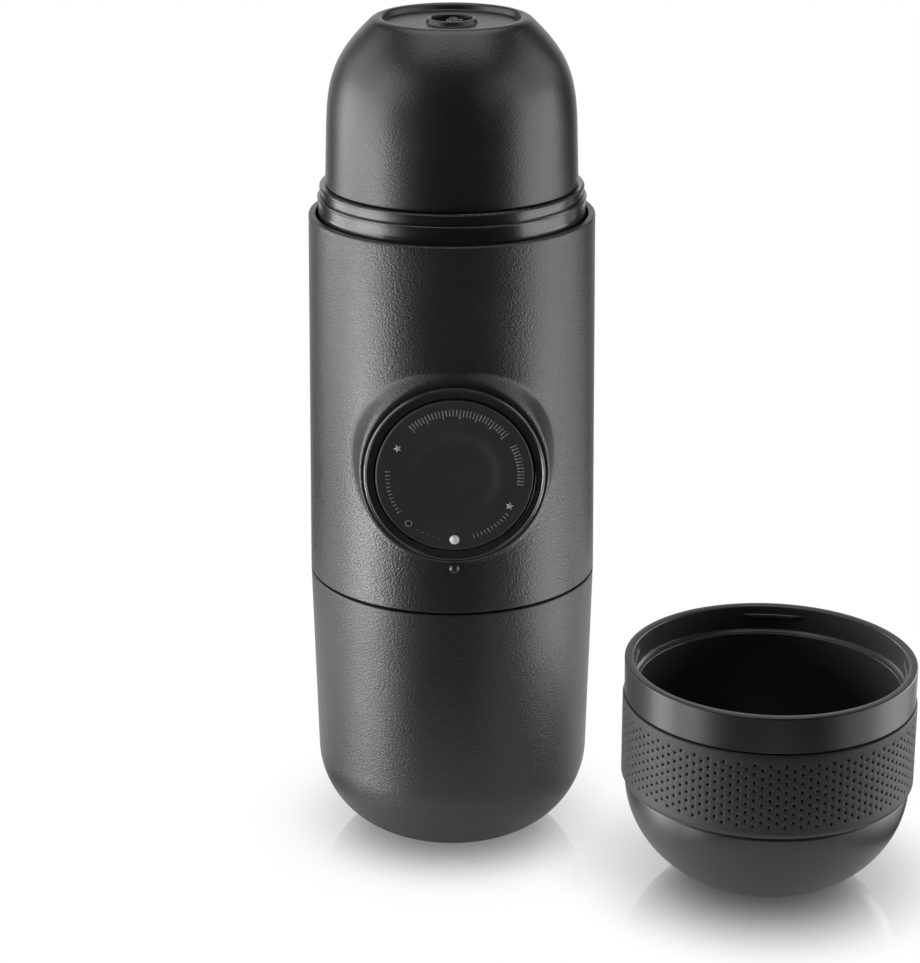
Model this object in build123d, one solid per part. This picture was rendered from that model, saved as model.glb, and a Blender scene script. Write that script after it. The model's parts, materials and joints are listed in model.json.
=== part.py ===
from build123d import *
import math
import os

# Handheld manual espresso maker with its loose cup. Millimetres.
# The maker's axis is +Z, its base is z = 0 and the piston knob faces -Y.

# Overall heights of the maker
SEAM_Z = 56.3            # split between the tank and the body
SEAM_GAP = 0.5           # visible height of the split
RIM_Z = 129.0            # top of the outer shell
LIP_Z = 134.6            # top of the neck
CREST_Z = 166.75         # crest of the outlet head

# Tank
TANK_TOP_R = 28.4
TANK_LOW_R = 27.4        # where the wall turns into the rounded bottom
TANK_LOW_Z = 17.5
TANK_FOOT_R = 10.0       # flat underside the foot stands out from
FOOT_HEIGHT = 0.3
FOOT_LENGTH = 19.0       # the foot is a cross of two bars
FOOT_WIDTH = 5.0
TANK_WALL = 2.0
TANK_NECK_R = 24.6
TANK_NECK_TOP = 64.5
TANK_NECK_BORE = 22.9
THREAD_PROUD = 0.55      # height of a thread ridge above its neck

# Outer shell
SHELL_LOW_R = 28.4
SHELL_TOP_R = 27.7
SHELL_WALL = 1.4
BOSS_R = 18.0            # raised boss round the knob
BOSS_OUT = 28.9          # how far the boss reaches in front of the maker's axis
BOSS_FILLET = 0.7
PIP_Z = 65.3             # index pip under the knob
PIP_R = 1.1
PIP_PROUD = 0.4

# Inner frame: skirt, pump room wall, brew floor and neck
SKIRT_BORE = 25.5
FRAME_R = 25.8
FRAME_BORE = 24.3
BREW_FLOOR_LOW = 113.0
BREW_FLOOR_TOP = 115.5
BREW_BORE = 23.7
NECK_LOW_R = 25.7        # band under the ridge
NECK_R = 25.25           # band over the ridge
NECK_RIDGE_R = 25.95     # ridge that the cup's lugs turn under
NECK_RIDGE_Z = 131.85    # its underside
NECK_RIDGE_H = 0.55
LIP_R = 25.45
LIP_H = 0.6

# Base plate
PLATE_LOW = 66.3
PLATE_TOP = 68.3
PLATE_LEDGE_R = 23.5     # inner edge of the ledge that the plate is screwed against
BASE_SCREW_CIRCLE = 21.2
SCREW_HOLE_R = 1.1
POST_R = 3.4
POST_TOP = 72.0
STRAINER_R = 4.6
STRAINER_H = 0.6
AIR_VALVE_X = -11.0
AIR_VALVE_Y = 6.0

# Pump, laid along the knob's axis; OUT is measured from the maker's axis towards -Y
PISTON_Z = 85.25
KNOB_R = 15.2
KNOB_OUT = 30.3
KNOB_SKIRT_OUT = 19.0
DISH_R = 8.4
DISH_DEPTH = 0.95
COLLAR_R = 17.1
COLLAR_TAIL_R = 16.8     # behind the shell, clear of the base plate
COLLAR_TAIL_OUT = 25.8
COLLAR_BORE = 15.5
COLLAR_OUT = 30.0
COLLAR_WALL_OUT = 18.4
COLLAR_SCREW_CIRCLE = 11.6
COLLAR_SCREW_R = 0.9
FLANGE_OUT = 16.4
FLANGE_R = 15.0
STEM_R = 9.5
STEM_BORE = 7.4
STEM_OUT = 28.1
STEM_FRONT = 2.5         # thickness of the stem's front wall
STEM_END = -4.0
KNOB_PIN_R = 3.0
PUMP_BORE = 10.0
PUMP_R = 12.0
PUMP_END = -17.5
PUMP_END_WALL = 1.8
CROWN_BORE = 6.2
CROWN_END = -12.0
SEAL_GROOVES = (-5.2, -8.6)
SEAL_GROOVE_R = 8.1
SEAL_GROOVE_W = 2.0
RUNNING = 0.08           # radial clearance of sliding and turning fits
PORT_Y = 15.0            # intake and outlet ports, behind the axis
COLUMN_R = 5.5           # column that holds both ports
INTAKE_R = 2.0
OUTLET_R = 1.6

# Valves
CHAMBER_R = 3.6
INTAKE_TOP = 70.7
SEAT_LOW = 98.5
SEAT_TOP = 99.5
BALL_R = 2.4
BALL_Z = 101.2
RISER_LOW = 103.2
RISER_R = 5.0
RISER_STOP_LOW = 109.0
RISER_STOP_TOP = 110.5

# Brew chamber
GASKET_R = 22.8
GASKET_BORE = 19.0
GASKET_TOP = 117.3
SCREEN_R = 18.6
SCREEN_SCREW_R = 1.25
BASKET_R = 20.2
BASKET_BORE = 19.2
BASKET_FLANGE_R = 22.3
BASKET_TOP = 140.0
MESH_R = 18.4
MESH_SEAT_R = 17.2

# Outlet head
HEAD_LOW = 127.0
HEAD_SKIRT_R = 22.9
HEAD_BORE = 21.0
HEAD_SEAT_R = 19.6
HEAD_SEAT_Z = 142.0
DOME_LOW_Z = 134.7
DOME_LOW_R = 24.39
RECESS_R = 13.5
RECESS_Z = 165.4
SPOUT_RING_R = 4.9
SPOUT_RING_TOP = 166.35
SPOUT_WELL_R = 3.9
SPOUT_WELL_Z = 162.6
SPOUT_HOLE_R = 2.4
SPOUT_BASE_H = 1.2
SPOUT_TIP_Z = 166.2
SPOUT_LOBES = (          # x, y, radius and bore of each lobe
    (-0.45, -0.3, 1.2, 0.42),
    (1.3, -0.2, 0.75, 0.28),
    (0.3, 1.3, 0.8, 0.28),
)

# Cup
CUP_X = 61.7
CUP_Y = -26.3
CUP_HEIGHT = 45.9
CUP_R = 28.3
CUP_BORE = 26.7
LUG_R = 25.8             # inner face of the lugs, between the neck's low band and its ridge
LUG_LOW = 42.9
LUG_TOP = 43.9
LUG_LENGTH = 12.0
LEDGE_Z = 40.4
LEDGE_R = 25.5
SLEEVE_LOW = 20.9
SLEEVE_TOP = 38.4
SLEEVE_R = 28.7
SLEEVE_BORE = 27.3
CUP_FLOOR = 2.4
CUP_FOOT_R = 9.5

os.makedirs("parts", exist_ok=True)


def save(solid, name):
    export_step(solid, "parts/" + name + ".step")


def turned(edges):
    """Turn a closed outline of (radius, height) edges about +Z."""
    return revolve(Plane.XZ * make_face(edges), Axis.Z)


def turned_points(points, rounds=()):
    """Turn a closed polygon of (radius, height) points about +Z.

    rounds lists (radius, height, fillet) for the corners that are rounded.
    """
    face = make_face(Polyline(*points, close=True))
    for corner_r, corner_z, size in rounds:
        corner = face.vertices().sort_by_distance((corner_r, corner_z))[0]
        face = fillet(corner, size)
    return revolve(Plane.XZ * face, Axis.Z)


def tube(outer, inner, low, high):
    """Plain ring between two radii and two heights."""
    return turned_points([(inner, low), (outer, low), (outer, high), (inner, high)])


def rod(radius, low, high, x=0.0, y=0.0):
    """Vertical cylinder between two heights."""
    return Pos(x, y, (low + high) / 2) * Cylinder(radius, high - low)


def along_piston(solid):
    """Lay a solid made about +Z along the piston axis, so that its height points out of the knob."""
    return Location((0, 0, PISTON_Z), (90, 0, 0)) * solid


def round_the_axis(solid, count, first=0.0):
    """Copies of a solid spaced evenly about +Z, as a list."""
    return [Rot(0, 0, first + 360.0 * i / count) * solid for i in range(count)]


def screw(head_r, shank_r, head_h, shank_h):
    """Pan-head screw pointing down from z = 0, with a hex socket in its head."""
    body = rod(head_r, 0, head_h) + rod(shank_r, -shank_h, 0)
    socket = Pos(0, 0, head_h) * extrude(RegularPolygon(head_r * 0.5, 6), -head_h * 0.6)
    return body - socket


def coil(radius, wire, low, high, turns):
    """Round-wire compression spring about +Z."""
    path = Pos(0, 0, low + wire) * Helix((high - low - 2 * wire) / turns, high - low - 2 * wire, radius)
    start = Plane(origin=path @ 0, z_dir=path % 0)
    return sweep(start * Circle(wire), path=path)


def quarter_bottom(wall_r, wall_z, foot_r, low_z):
    """Quarter ellipse from a vertical wall down to a flat foot."""
    return EllipticalCenterArc((foot_r, wall_z), wall_r - foot_r, wall_z - low_z, 270, arc_size=90)


# Tank ---------------------------------------------------------------------------------------------

def water_tank():
    shoulder = SEAM_Z - SEAM_GAP / 2
    inner_r = TANK_LOW_R - TANK_WALL
    outer = [
        Line((0, 0), (TANK_FOOT_R, 0)),
        quarter_bottom(TANK_LOW_R, TANK_LOW_Z, TANK_FOOT_R, 0),
        Line((TANK_LOW_R, TANK_LOW_Z), (TANK_TOP_R, shoulder - 0.3)),
        Line((TANK_TOP_R, shoulder - 0.3), (TANK_TOP_R - 0.3, shoulder)),
        Line((TANK_TOP_R - 0.3, shoulder), (TANK_NECK_R, shoulder)),
        Line((TANK_NECK_R, shoulder), (TANK_NECK_R, TANK_NECK_TOP)),
        Line((TANK_NECK_R, TANK_NECK_TOP), (TANK_NECK_BORE, TANK_NECK_TOP)),
        Line((TANK_NECK_BORE, TANK_NECK_TOP), (TANK_NECK_BORE, shoulder - 4.0)),
        Line((TANK_NECK_BORE, shoulder - 4.0), (inner_r, shoulder - 7.0)),
        Line((inner_r, shoulder - 7.0), (inner_r, TANK_LOW_Z)),
        quarter_bottom(inner_r, TANK_LOW_Z, TANK_FOOT_R, TANK_WALL),
        Line((TANK_FOOT_R, TANK_WALL), (0, TANK_WALL)),
        Line((0, TANK_WALL), (0, 0)),
    ]
    body = turned(outer)
    body -= Pos(0, 0, FOOT_HEIGHT / 2) * Cylinder(TANK_LOW_R / 2, FOOT_HEIGHT)
    for turn in (45, 135):
        bar = Box(FOOT_LENGTH, FOOT_WIDTH, 2 * FOOT_HEIGHT)
        body += Rot(0, 0, turn) * Pos(0, 0, FOOT_HEIGHT) * bar
    for ridge_z in (59.2, 61.8):
        body += thread_ridge(TANK_NECK_R, ridge_z)
    return body


def thread_ridge(neck_r, ridge_z, width=1.0):
    """One ridge of a round thread, standing THREAD_PROUD above its neck."""
    return turned_points([
        (neck_r - 0.3, ridge_z - width / 2),
        (neck_r + THREAD_PROUD, ridge_z - width / 4),
        (neck_r + THREAD_PROUD, ridge_z + width / 4),
        (neck_r - 0.3, ridge_z + width / 2),
    ])


# Body ---------------------------------------------------------------------------------------------

def outer_shell():
    low = SEAM_Z + SEAM_GAP / 2
    wall = turned_points(
        [
            (SHELL_LOW_R - SHELL_WALL, low),
            (SHELL_LOW_R, low),
            (SHELL_TOP_R, RIM_Z),
            (SHELL_TOP_R - SHELL_WALL, RIM_Z),
        ],
        rounds=[(SHELL_LOW_R, low, 0.3), (SHELL_TOP_R, RIM_Z, 0.9), (SHELL_TOP_R - SHELL_WALL, RIM_Z, 0.3)],
    )
    core = turned_points([(0, low), (SHELL_LOW_R - 0.7, low), (SHELL_TOP_R - 0.7, RIM_Z), (0, RIM_Z)])
    boss = along_piston(rod(BOSS_R, 15.0, BOSS_OUT)) - core
    shell = wall + boss
    root = [e for e in shell.edges() if touches_boss_root(e)]
    shell = fillet(root, BOSS_FILLET)
    shell -= along_piston(rod(COLLAR_R + 0.1, 0.0, BOSS_OUT + 5))
    pip_ball = (PIP_R ** 2 + PIP_PROUD ** 2) / (2 * PIP_PROUD)
    wall_y = -SHELL_LOW_R + (SHELL_LOW_R - SHELL_TOP_R) * (PIP_Z - low) / (RIM_Z - low)
    shell += Pos(0, wall_y + pip_ball - PIP_PROUD, PIP_Z) * Sphere(pip_ball) - core
    return shell


def touches_boss_root(edge):
    """True for the curved edges where the boss runs into the outside of the shell."""
    spot = edge @ 0.3
    distance = math.hypot(spot.X, spot.Z - PISTON_Z)
    outside = math.hypot(spot.X, spot.Y) > SHELL_TOP_R + 0.1
    return abs(distance - BOSS_R) < 0.05 and outside and spot.Y > -BOSS_OUT + 0.05 and spot.Y < 0


def inner_frame():
    skirt_low = SEAM_Z - SEAM_GAP / 2
    ledge = PLATE_TOP
    ridge_top = NECK_RIDGE_Z + NECK_RIDGE_H
    outline = [
        (SKIRT_BORE, skirt_low),
        (SHELL_LOW_R - SHELL_WALL - 0.05, skirt_low),
        (SHELL_LOW_R - SHELL_WALL - 0.15, ledge - 1.0),
        (FRAME_R, ledge + 1.0),
        (FRAME_R, RIM_Z + 0.6),
        (NECK_LOW_R, RIM_Z + 1.2),
        (NECK_LOW_R, NECK_RIDGE_Z),
        (NECK_RIDGE_R, NECK_RIDGE_Z),
        (NECK_RIDGE_R, ridge_top),
        (NECK_R, ridge_top),
        (NECK_R, LIP_Z - LIP_H),
        (LIP_R, LIP_Z - LIP_H),
        (LIP_R, LIP_Z),
        (BREW_BORE, LIP_Z),
        (BREW_BORE, BREW_FLOOR_TOP),
        (0, BREW_FLOOR_TOP),
        (0, BREW_FLOOR_LOW),
        (FRAME_BORE - 1.5, BREW_FLOOR_LOW),
        (FRAME_BORE, BREW_FLOOR_LOW - 1.5),
        (FRAME_BORE, ledge + 2.0),
        (PLATE_LEDGE_R, ledge + 1.2),
        (PLATE_LEDGE_R, ledge),
        (SKIRT_BORE, ledge),
    ]
    rounds = [
        (NECK_RIDGE_R, NECK_RIDGE_Z, 0.15),
        (NECK_RIDGE_R, ridge_top, 0.3),
        (LIP_R, LIP_Z - LIP_H, 0.1),
        (LIP_R, LIP_Z, 0.25),
    ]
    frame = turned_points(outline, rounds)
    post = rod(POST_R, PLATE_TOP, POST_TOP, BASE_SCREW_CIRCLE, 0)
    keep = rod(FRAME_R - 0.5, PLATE_TOP, POST_TOP)
    for one in round_the_axis(post, 4, 45.0):
        frame += one & keep
    frame -= along_piston(rod(COLLAR_R + 0.1, 0.0, 40.0))
    frame -= rod(RISER_R, BREW_FLOOR_LOW - 1, BREW_FLOOR_TOP + 1, 0, PORT_Y)
    frame -= rod(SCREEN_SCREW_R, BREW_FLOOR_LOW + 0.8, BREW_FLOOR_TOP + 1)
    for one in base_screw_holes(PLATE_TOP - 1, POST_TOP - 0.6):
        frame -= one
    return frame


def base_screw_holes(low, high):
    return round_the_axis(rod(SCREW_HOLE_R, low, high, BASE_SCREW_CIRCLE, 0), 4, 45.0)


def base_plate():
    through = (PLATE_LOW - 1, PLATE_TOP + 1)
    plate = rod(SKIRT_BORE - 0.1, PLATE_LOW, PLATE_TOP)
    plate -= rod(INTAKE_R, *through, 0, PORT_Y)
    plate -= rod(STRAINER_R, PLATE_LOW - 1, PLATE_LOW + STRAINER_H, 0, PORT_Y)
    plate -= rod(1.2, *through, AIR_VALVE_X, AIR_VALVE_Y)
    for vent in round_the_axis(rod(0.6, *through, 2.3, 0), 3, 30.0):
        plate -= Pos(AIR_VALVE_X, AIR_VALVE_Y, 0) * vent
    for one in base_screw_holes(*through):
        plate -= one
    return plate


def base_screws():
    one = Pos(BASE_SCREW_CIRCLE, 0, PLATE_LOW) * Rot(180, 0, 0) * screw(1.5, SCREW_HOLE_R, 1.2, 4.4)
    return Compound(round_the_axis(one, 4, 45.0))


def tank_seal():
    return tube(25.0, 23.0, TANK_NECK_TOP + 0.05, PLATE_LOW)


def intake_strainer():
    disc = rod(STRAINER_R, PLATE_LOW, PLATE_LOW + STRAINER_H)
    for ring_r, count in ((1.2, 6), (2.5, 12), (3.7, 18)):
        for one in round_the_axis(rod(0.28, PLATE_LOW - 1, PLATE_LOW + 1, ring_r, 0), count):
            disc -= one
    return Pos(0, PORT_Y, 0) * disc


def air_valve():
    umbrella = turned_points([
        (0, PLATE_TOP),
        (3.6, PLATE_TOP),
        (3.4, PLATE_TOP + 0.4),
        (1.2, PLATE_TOP + 1.0),
        (0, PLATE_TOP + 1.0),
    ])
    stem = rod(1.15, PLATE_LOW - 1.2, PLATE_TOP + 0.1)
    barb = rod(1.6, PLATE_LOW - 0.9, PLATE_LOW)
    return Pos(AIR_VALVE_X, AIR_VALVE_Y, 0) * (umbrella + stem + barb)


def knob_collar():
    collar = turned_points(
        [
            (STEM_R + RUNNING, FLANGE_OUT),
            (COLLAR_TAIL_R, FLANGE_OUT),
            (COLLAR_TAIL_R, COLLAR_TAIL_OUT),
            (COLLAR_R, COLLAR_TAIL_OUT),
            (COLLAR_R, COLLAR_OUT),
            (COLLAR_R - 0.3, COLLAR_OUT),
            (COLLAR_BORE, COLLAR_OUT - 0.9),
            (COLLAR_BORE, COLLAR_WALL_OUT),
            (STEM_R + RUNNING, COLLAR_WALL_OUT),
        ],
        rounds=[(COLLAR_R, COLLAR_OUT, 0.15)],
    )
    for one in collar_screw_holes(FLANGE_OUT - 1, COLLAR_WALL_OUT + 1):
        collar -= one
    return along_piston(collar)


def collar_screw_holes(low, high):
    return round_the_axis(rod(COLLAR_SCREW_R, low, high, COLLAR_SCREW_CIRCLE, 0), 4, 45.0)


def collar_screws():
    one = Pos(COLLAR_SCREW_CIRCLE, 0, COLLAR_WALL_OUT) * screw(1.5, COLLAR_SCREW_R, 1.0, 4.8)
    return along_piston(Compound(round_the_axis(one, 4, 45.0)))


def pump_cylinder():
    barrel = turned_points([
        (PUMP_BORE, FLANGE_OUT),
        (FLANGE_R, FLANGE_OUT),
        (FLANGE_R, FLANGE_OUT - 3.0),
        (PUMP_R, FLANGE_OUT - 5.0),
        (PUMP_R, PUMP_END),
        (PUMP_R - PUMP_END_WALL, PUMP_END - PUMP_END_WALL),
        (0, PUMP_END - PUMP_END_WALL),
        (0, PUMP_END),
        (PUMP_BORE, PUMP_END),
    ])
    for one in collar_screw_holes(FLANGE_OUT - 3.6, FLANGE_OUT + 1):
        barrel -= one
    body = along_piston(barrel)
    bore = along_piston(rod(PUMP_BORE, PUMP_END, FLANGE_OUT))
    body += rod(COLUMN_R, PLATE_TOP, PISTON_Z, 0, PORT_Y) - bore
    body += rod(COLUMN_R, PISTON_Z, RISER_LOW, 0, PORT_Y) - bore
    body -= rod(CHAMBER_R, PLATE_TOP - 1, INTAKE_TOP, 0, PORT_Y)
    body -= rod(INTAKE_R, INTAKE_TOP - 1, PISTON_Z, 0, PORT_Y)
    body -= rod(OUTLET_R, PISTON_Z, SEAT_LOW + 1, 0, PORT_Y)
    body -= rod(CHAMBER_R, SEAT_LOW, RISER_LOW + 1, 0, PORT_Y)
    return body


def outlet_valve_seat():
    seat = turned_points([
        (OUTLET_R, SEAT_LOW),
        (CHAMBER_R, SEAT_LOW),
        (CHAMBER_R, SEAT_TOP),
        (OUTLET_R + 0.3, SEAT_TOP),
        (OUTLET_R, SEAT_TOP - 0.3),
    ])
    return Pos(0, PORT_Y, 0) * seat


def riser_pipe():
    pipe = tube(RISER_R, CHAMBER_R, RISER_LOW, BREW_FLOOR_TOP)
    stop = tube(CHAMBER_R + 0.2, OUTLET_R, RISER_STOP_LOW, RISER_STOP_TOP)
    return Pos(0, PORT_Y, 0) * (pipe + stop)


def shower_screen():
    low = BREW_FLOOR_TOP + 0.7
    screen = rod(SCREEN_R, low, low + 0.6) + rod(3.0, BREW_FLOOR_TOP, low + 0.1)
    for ring_r, count in ((5.0, 8), (8.5, 14), (12.0, 20), (15.5, 26)):
        for one in round_the_axis(rod(0.6, BREW_FLOOR_TOP, low + 1, ring_r, 0), count):
            screen -= one
    return screen - rod(SCREEN_SCREW_R, BREW_FLOOR_TOP - 1, low + 1)


def shower_screw():
    return Pos(0, 0, BREW_FLOOR_TOP + 1.3) * screw(2.4, SCREEN_SCREW_R, 0.7, 2.9)


def brew_gasket():
    return tube(GASKET_R, GASKET_BORE, BREW_FLOOR_TOP, GASKET_TOP)


# Piston and knob ----------------------------------------------------------------------------------

def piston_stem():
    pin_hole_r = KNOB_PIN_R + RUNNING
    stem = turned_points([
        (pin_hole_r, STEM_OUT),
        (STEM_R, STEM_OUT),
        (STEM_R, STEM_END),
        (STEM_BORE, STEM_END),
        (STEM_BORE, STEM_OUT - STEM_FRONT),
        (pin_hole_r, STEM_OUT - STEM_FRONT),
    ])
    return along_piston(stem)


def piston_crown():
    crown_r = PUMP_BORE - RUNNING
    spigot_r = STEM_BORE - 0.05
    web_front = STEM_END + 0.4
    web_back = STEM_END - 0.8
    points = [
        (CROWN_BORE, STEM_END + 4.0),
        (spigot_r, STEM_END + 4.0),
        (spigot_r, STEM_END),
        (crown_r, STEM_END),
    ]
    for groove_front in SEAL_GROOVES:
        points += [
            (crown_r, groove_front),
            (SEAL_GROOVE_R, groove_front),
            (SEAL_GROOVE_R, groove_front - SEAL_GROOVE_W),
            (crown_r, groove_front - SEAL_GROOVE_W),
        ]
    points += [
        (crown_r, CROWN_END),
        (CROWN_BORE, CROWN_END),
        (CROWN_BORE, web_back),
        (0, web_back),
        (0, web_front),
        (CROWN_BORE, web_front),
    ]
    return along_piston(turned_points(points))


def piston_seals():
    section_r = 0.9
    ring = Torus(SEAL_GROOVE_R + section_r + 0.05, section_r)
    rings = [Pos(0, 0, front - SEAL_GROOVE_W / 2) * ring for front in SEAL_GROOVES]
    return along_piston(Compound(rings))


def piston_spring():
    return along_piston(coil(5.3, 0.5, PUMP_END + 0.05, STEM_END - 0.85, 7))


def piston_knob():
    dish_floor = KNOB_OUT - DISH_DEPTH
    under = STEM_OUT + 0.1
    edge = 0.5
    skirt_bore = 13.6
    face = [
        ThreePointArc((0, dish_floor), (DISH_R / 2, dish_floor + DISH_DEPTH / 4), (DISH_R, KNOB_OUT)),
        Line((DISH_R, KNOB_OUT), (KNOB_R - edge, KNOB_OUT)),
        RadiusArc((KNOB_R - edge, KNOB_OUT), (KNOB_R, KNOB_OUT - edge), edge),
        Polyline(
            (KNOB_R, KNOB_OUT - edge),
            (KNOB_R, KNOB_SKIRT_OUT),
            (skirt_bore, KNOB_SKIRT_OUT),
            (skirt_bore, under),
            (KNOB_PIN_R, under),
            (KNOB_PIN_R, STEM_OUT - STEM_FRONT),
            (0, STEM_OUT - STEM_FRONT),
            (0, dish_floor),
        ),
    ]
    return along_piston(turned(face) - rod(SCREW_HOLE_R, 0, KNOB_OUT - 2.0))


def knob_screw():
    under_head = STEM_OUT - STEM_FRONT - 0.1
    turned_over = Pos(0, 0, under_head) * Rot(180, 0, 0) * screw(4.4, SCREW_HOLE_R, 1.6, 2.6)
    return along_piston(turned_over)


# Valves -------------------------------------------------------------------------------------------

def intake_valve_disc():
    return rod(3.2, PLATE_TOP + 0.05, PLATE_TOP + 0.85, 0, PORT_Y)


def outlet_valve_ball():
    return Pos(0, PORT_Y, BALL_Z) * Sphere(BALL_R)


def outlet_valve_spring():
    return Pos(0, PORT_Y, 0) * coil(1.7, 0.25, BALL_Z + BALL_R + 0.05, RISER_STOP_LOW - 0.05, 5)


# Outlet head and basket ---------------------------------------------------------------------------

def outlet_head():
    shoulder = (24.04, 145.93)
    crest_start = (15.34, 166.23)
    crest = (14.08, CREST_Z)
    roof_r = 11.0
    wall_top = HEAD_SEAT_Z + 2.0
    outline = [
        Polyline(
            (HEAD_BORE, HEAD_LOW),
            (HEAD_SKIRT_R, HEAD_LOW),
            (HEAD_SKIRT_R, DOME_LOW_Z),
            (DOME_LOW_R, DOME_LOW_Z),
            shoulder,
        ),
        Bezier(shoulder, (23.73, 155.15), (22.51, 159.41), crest_start),
        RadiusArc(crest_start, crest, -1.83),
        Polyline(
            crest,
            (RECESS_R, CREST_Z - 0.25),
            (RECESS_R - 0.2, RECESS_Z),
            (SPOUT_RING_R, RECESS_Z),
            (SPOUT_RING_R - 0.3, SPOUT_RING_TOP - 0.2),
            (SPOUT_RING_R - 0.45, SPOUT_RING_TOP),
            (SPOUT_WELL_R + 0.1, SPOUT_RING_TOP),
            (SPOUT_WELL_R, SPOUT_RING_TOP - 0.1),
            (SPOUT_WELL_R, SPOUT_WELL_Z),
            (SPOUT_HOLE_R, SPOUT_WELL_Z),
            (SPOUT_HOLE_R, SPOUT_WELL_Z - 1.4),
            (roof_r, wall_top + 16.0),
        ),
        EllipticalCenterArc((roof_r, wall_top), HEAD_SEAT_R - roof_r, 16.0, 0, arc_size=90),
        Polyline(
            (HEAD_SEAT_R, wall_top),
            (HEAD_SEAT_R, HEAD_SEAT_Z),
            (HEAD_BORE, HEAD_SEAT_Z),
            (HEAD_BORE, HEAD_LOW),
        ),
    ]
    head = turned(outline)
    for ridge_z in (129.2, 131.8):
        head += thread_ridge(HEAD_SKIRT_R - 0.15, ridge_z)
    return head


def spout_insert():
    low = SPOUT_WELL_Z
    insert = rod(SPOUT_WELL_R, low, low + SPOUT_BASE_H)
    for x, y, lobe_r, bore_r in SPOUT_LOBES:
        lobe = rod(lobe_r, low + SPOUT_BASE_H / 2, SPOUT_TIP_Z, x, y)
        insert += chamfer(lobe.edges().group_by(Axis.Z)[-1], 0.25)
    for x, y, lobe_r, bore_r in SPOUT_LOBES:
        insert -= rod(bore_r, low - 1, SPOUT_TIP_Z + 1, x, y)
    return insert


def head_seal():
    return tube(HEAD_BORE - 0.1, HEAD_SEAT_R + 0.1, BASKET_TOP + 0.1, HEAD_SEAT_Z)


def filter_basket():
    return turned_points([
        (BASKET_BORE, GASKET_TOP + 0.05),
        (BASKET_FLANGE_R, GASKET_TOP + 0.05),
        (BASKET_FLANGE_R, GASKET_TOP + 1.45),
        (BASKET_R, GASKET_TOP + 1.9),
        (BASKET_R, BASKET_TOP),
        (MESH_SEAT_R, BASKET_TOP),
        (MESH_SEAT_R, BASKET_TOP - 0.5),
        (MESH_R, BASKET_TOP - 0.5),
        (MESH_R, BASKET_TOP - 1.0),
        (BASKET_BORE, BASKET_TOP - 1.0),
    ])


def filter_mesh():
    low = BASKET_TOP - 1.0
    disc = rod(MESH_R, low, low + 0.5)
    for ring_r, count in ((0.0, 1), (3.0, 6), (6.0, 12), (9.0, 18), (12.0, 24), (15.0, 30)):
        for one in round_the_axis(rod(0.45, low - 1, low + 1, ring_r, 0), count):
            disc -= one
    return disc


# Cup ----------------------------------------------------------------------------------------------

def cup_bowl():
    middle_r = 5.0
    bowl_r = CUP_R - 0.3
    half_width = bowl_r - middle_r
    depth = SLEEVE_LOW + 0.45
    foot_z = 0.35
    cut = math.asin((SLEEVE_LOW - foot_z) / depth)
    cut_degrees = math.degrees(cut)
    edge_r = middle_r + half_width * math.cos(cut)
    edge = 0.5
    inside_r = LEDGE_R - 0.2
    inside_z = SLEEVE_LOW + 2.0
    outline = [
        Polyline((0, 0), (CUP_FOOT_R, 0), (edge_r, foot_z)),
        EllipticalCenterArc((middle_r, SLEEVE_LOW), half_width, depth, -cut_degrees, arc_size=cut_degrees),
        Polyline(
            (bowl_r, SLEEVE_LOW),
            (SLEEVE_BORE, SLEEVE_LOW),
            (SLEEVE_BORE, SLEEVE_TOP),
            (CUP_R - 0.1, SLEEVE_TOP),
            (CUP_R, SLEEVE_TOP + 0.3),
            (CUP_R, CUP_HEIGHT - edge),
        ),
        RadiusArc((CUP_R, CUP_HEIGHT - edge), (CUP_R - edge, CUP_HEIGHT), -edge),
        Polyline(
            (CUP_R - edge, CUP_HEIGHT),
            (CUP_BORE + 0.3, CUP_HEIGHT),
            (CUP_BORE, CUP_HEIGHT - 0.4),
            (CUP_BORE, LEDGE_Z),
            (LEDGE_R, LEDGE_Z),
            (inside_r, inside_z),
        ),
        EllipticalCenterArc((middle_r, inside_z), inside_r - middle_r, inside_z - CUP_FLOOR, 270, arc_size=90),
        Polyline((middle_r, CUP_FLOOR), (0, CUP_FLOOR), (0, 0)),
    ]
    bowl = turned(outline)
    reach = Pos(CUP_BORE, 0, LUG_LOW) * Box(4, LUG_LENGTH, 4)
    lug = tube(CUP_BORE + 0.3, LUG_R, LUG_LOW, LUG_TOP) & reach
    for one in round_the_axis(lug, 4):
        bowl += one
    return Pos(CUP_X, CUP_Y, 0) * bowl


def cup_grip_sleeve():
    sleeve = turned_points(
        [
            (SLEEVE_BORE, SLEEVE_LOW),
            (SLEEVE_R - 0.5, SLEEVE_LOW),
            (SLEEVE_R, SLEEVE_LOW + 0.9),
            (SLEEVE_R, SLEEVE_TOP - 0.1),
            (SLEEVE_BORE, SLEEVE_TOP - 0.1),
        ],
        rounds=[(SLEEVE_R, SLEEVE_TOP - 0.1, 0.4)],
    )
    return Pos(CUP_X, CUP_Y, 0) * sleeve


for make in (
    water_tank,
    outer_shell,
    inner_frame,
    base_plate,
    base_screws,
    tank_seal,
    intake_strainer,
    air_valve,
    knob_collar,
    collar_screws,
    pump_cylinder,
    outlet_valve_seat,
    riser_pipe,
    shower_screen,
    shower_screw,
    brew_gasket,
    piston_stem,
    piston_crown,
    piston_seals,
    piston_spring,
    piston_knob,
    knob_screw,
    intake_valve_disc,
    outlet_valve_ball,
    outlet_valve_spring,
    outlet_head,
    spout_insert,
    head_seal,
    filter_basket,
    filter_mesh,
    cup_bowl,
    cup_grip_sleeve,
):
    save(make(), make.__name__)
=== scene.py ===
import json
import math

import bmesh
import bpy
import numpy as np
from mathutils import Euler, Matrix, Vector

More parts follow.
